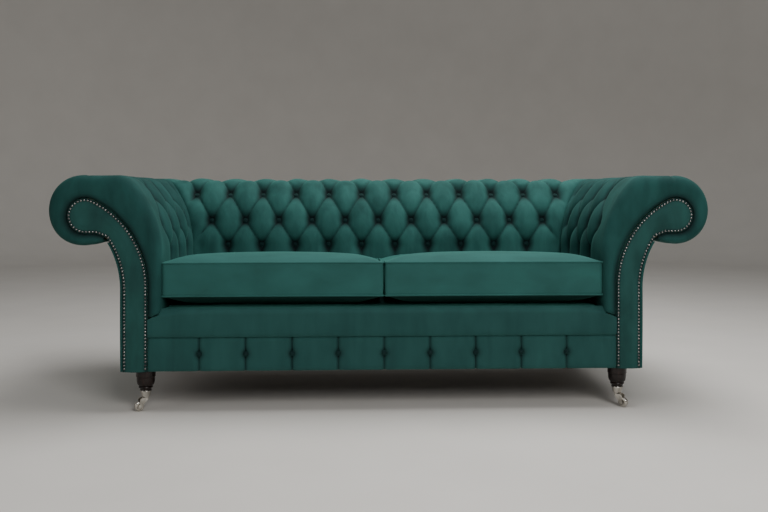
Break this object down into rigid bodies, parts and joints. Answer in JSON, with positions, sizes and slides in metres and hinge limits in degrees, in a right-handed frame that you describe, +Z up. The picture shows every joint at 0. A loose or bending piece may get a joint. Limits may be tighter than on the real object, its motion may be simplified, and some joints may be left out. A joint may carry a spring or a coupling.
{
  "type": "chesterfield sofa",
  "caption": "Low chesterfield sofa with scroll arms and back, deep-buttoned velvet, loose welted seat cushions, pleated front border and turned front legs on castors.",
  "frame": {"origin": "on the floor under the middle of the sofa, at the bottom centre of its box", "axes": "+X to the right of someone who looks at the front, +Y from the front to the back, +Z up"},
  "size_m": [2.112, 0.94, 0.758],
  "materials": {
    "tufted_velvet": "deep green velvet pile, buttoned",
    "cushion_velvet": "deep green velvet pile",
    "border_velvet": "deep green velvet pile",
    "facing_velvet": "deep green velvet pile, nailed edge",
    "panel_velvet": "deep green velvet pile, stretched",
    "button_velvet": "velvet covered buttons",
    "cushion_foam": "foam wrapped in wadding",
    "webbing": "woven jute webbing",
    "deck_felt": "felt platform under velvet",
    "dust_cloth": "black lining cloth",
    "frame_timber": "sawn hardwood",
    "polished_leg_wood": "near black polished wood",
    "castor_nickel": "polished nickel plate",
    "plate_steel": "black painted steel",
    "bolt_steel": "zinc plated steel"
  },
  "bodies": {
    "sofa": {"back_buttons": "button_velvet", "back_pad": "tufted_velvet", "back_roll_rail": "frame_timber", "back_tack_rail": "frame_timber", "back_webbing": "webbing", "castor_cups": "castor_nickel", "castor_pintles": "castor_nickel", "centre_back_post": "frame_timber", "corner_blocks": "frame_timber", "cross_rails": "frame_timber", "dust_cover": "dust_cloth", "front_border_buttons": "button_velvet", "front_legs": "polished_leg_wood", "front_rail": "frame_timber", "left_arm_buttons": "button_velvet", "left_arm_facing": "facing_velvet", "left_arm_pad": "tufted_velvet", "left_arm_roll_rail": "frame_timber", "left_arm_tack_rail": "frame_timber", "left_arm_webbing": "webbing", "left_back_post": "frame_timber", "left_front_scroll_board": "frame_timber", "left_outer_arm_panel": "panel_velvet", "left_rear_scroll_board": "frame_timber", "left_side_rail": "frame_timber", "leg_bolts": "bolt_steel", "leg_plates": "plate_steel", "outer_back_panel": "panel_velvet", "pleated_front_border": "border_velvet", "rear_legs": "polished_leg_wood", "rear_rail": "frame_timber", "right_arm_buttons": "button_velvet", "right_arm_facing": "facing_velvet", "right_arm_pad": "tufted_velvet", "right_arm_roll_rail": "frame_timber", "right_arm_tack_rail": "frame_timber", "right_arm_webbing": "webbing", "right_back_post": "frame_timber", "right_front_scroll_board": "frame_timber", "right_outer_arm_panel": "panel_velvet", "right_rear_scroll_board": "frame_timber", "right_side_rail": "frame_timber", "seat_deck": "deck_felt", "seat_webbing_crosswise": "webbing", "seat_webbing_lengthwise": "webbing", "upper_front_border": "border_velvet"},
    "left_horn": {"left_castor_axle": "castor_nickel", "left_castor_horn": "castor_nickel"},
    "left_roller": {"left_castor_wheel": "castor_nickel"},
    "right_horn": {"right_castor_axle": "castor_nickel", "right_castor_horn": "castor_nickel"},
    "right_roller": {"right_castor_wheel": "castor_nickel"},
    "left_cushion": {"left_cushion_core": "cushion_foam", "left_cushion_cover": "cushion_velvet"},
    "right_cushion": {"right_cushion_core": "cushion_foam", "right_cushion_cover": "cushion_velvet"}
  },
  "joints": [
    {"name": "left_castor_swivel", "type": "hinge", "parent": "sofa", "child": "left_horn", "pos_m": [-0.768, -0.425, 0.0425], "axis": [0, 0, 1], "continuous": true},
    {"name": "left_castor_roll", "type": "hinge", "parent": "left_horn", "child": "left_roller", "pos_m": [-0.78666, -0.43666, 0.0155], "axis": [0.5299, -0.848, 0], "continuous": true},
    {"name": "right_castor_swivel", "type": "hinge", "parent": "sofa", "child": "right_horn", "pos_m": [0.768, -0.425, 0.0425], "axis": [0, 0, 1], "continuous": true},
    {"name": "right_castor_roll", "type": "hinge", "parent": "right_horn", "child": "right_roller", "pos_m": [0.783, -0.44109, 0.0155], "axis": [0.7314, 0.682, 0], "continuous": true},
    {"name": "left_cushion_lift", "type": "slide", "parent": "sofa", "child": "left_cushion", "axis": [0, 0, 1], "range_m": [0, 0.3]},
    {"name": "right_cushion_lift", "type": "slide", "parent": "sofa", "child": "right_cushion", "axis": [0, 0, 1], "range_m": [0, 0.3]}
  ]
}
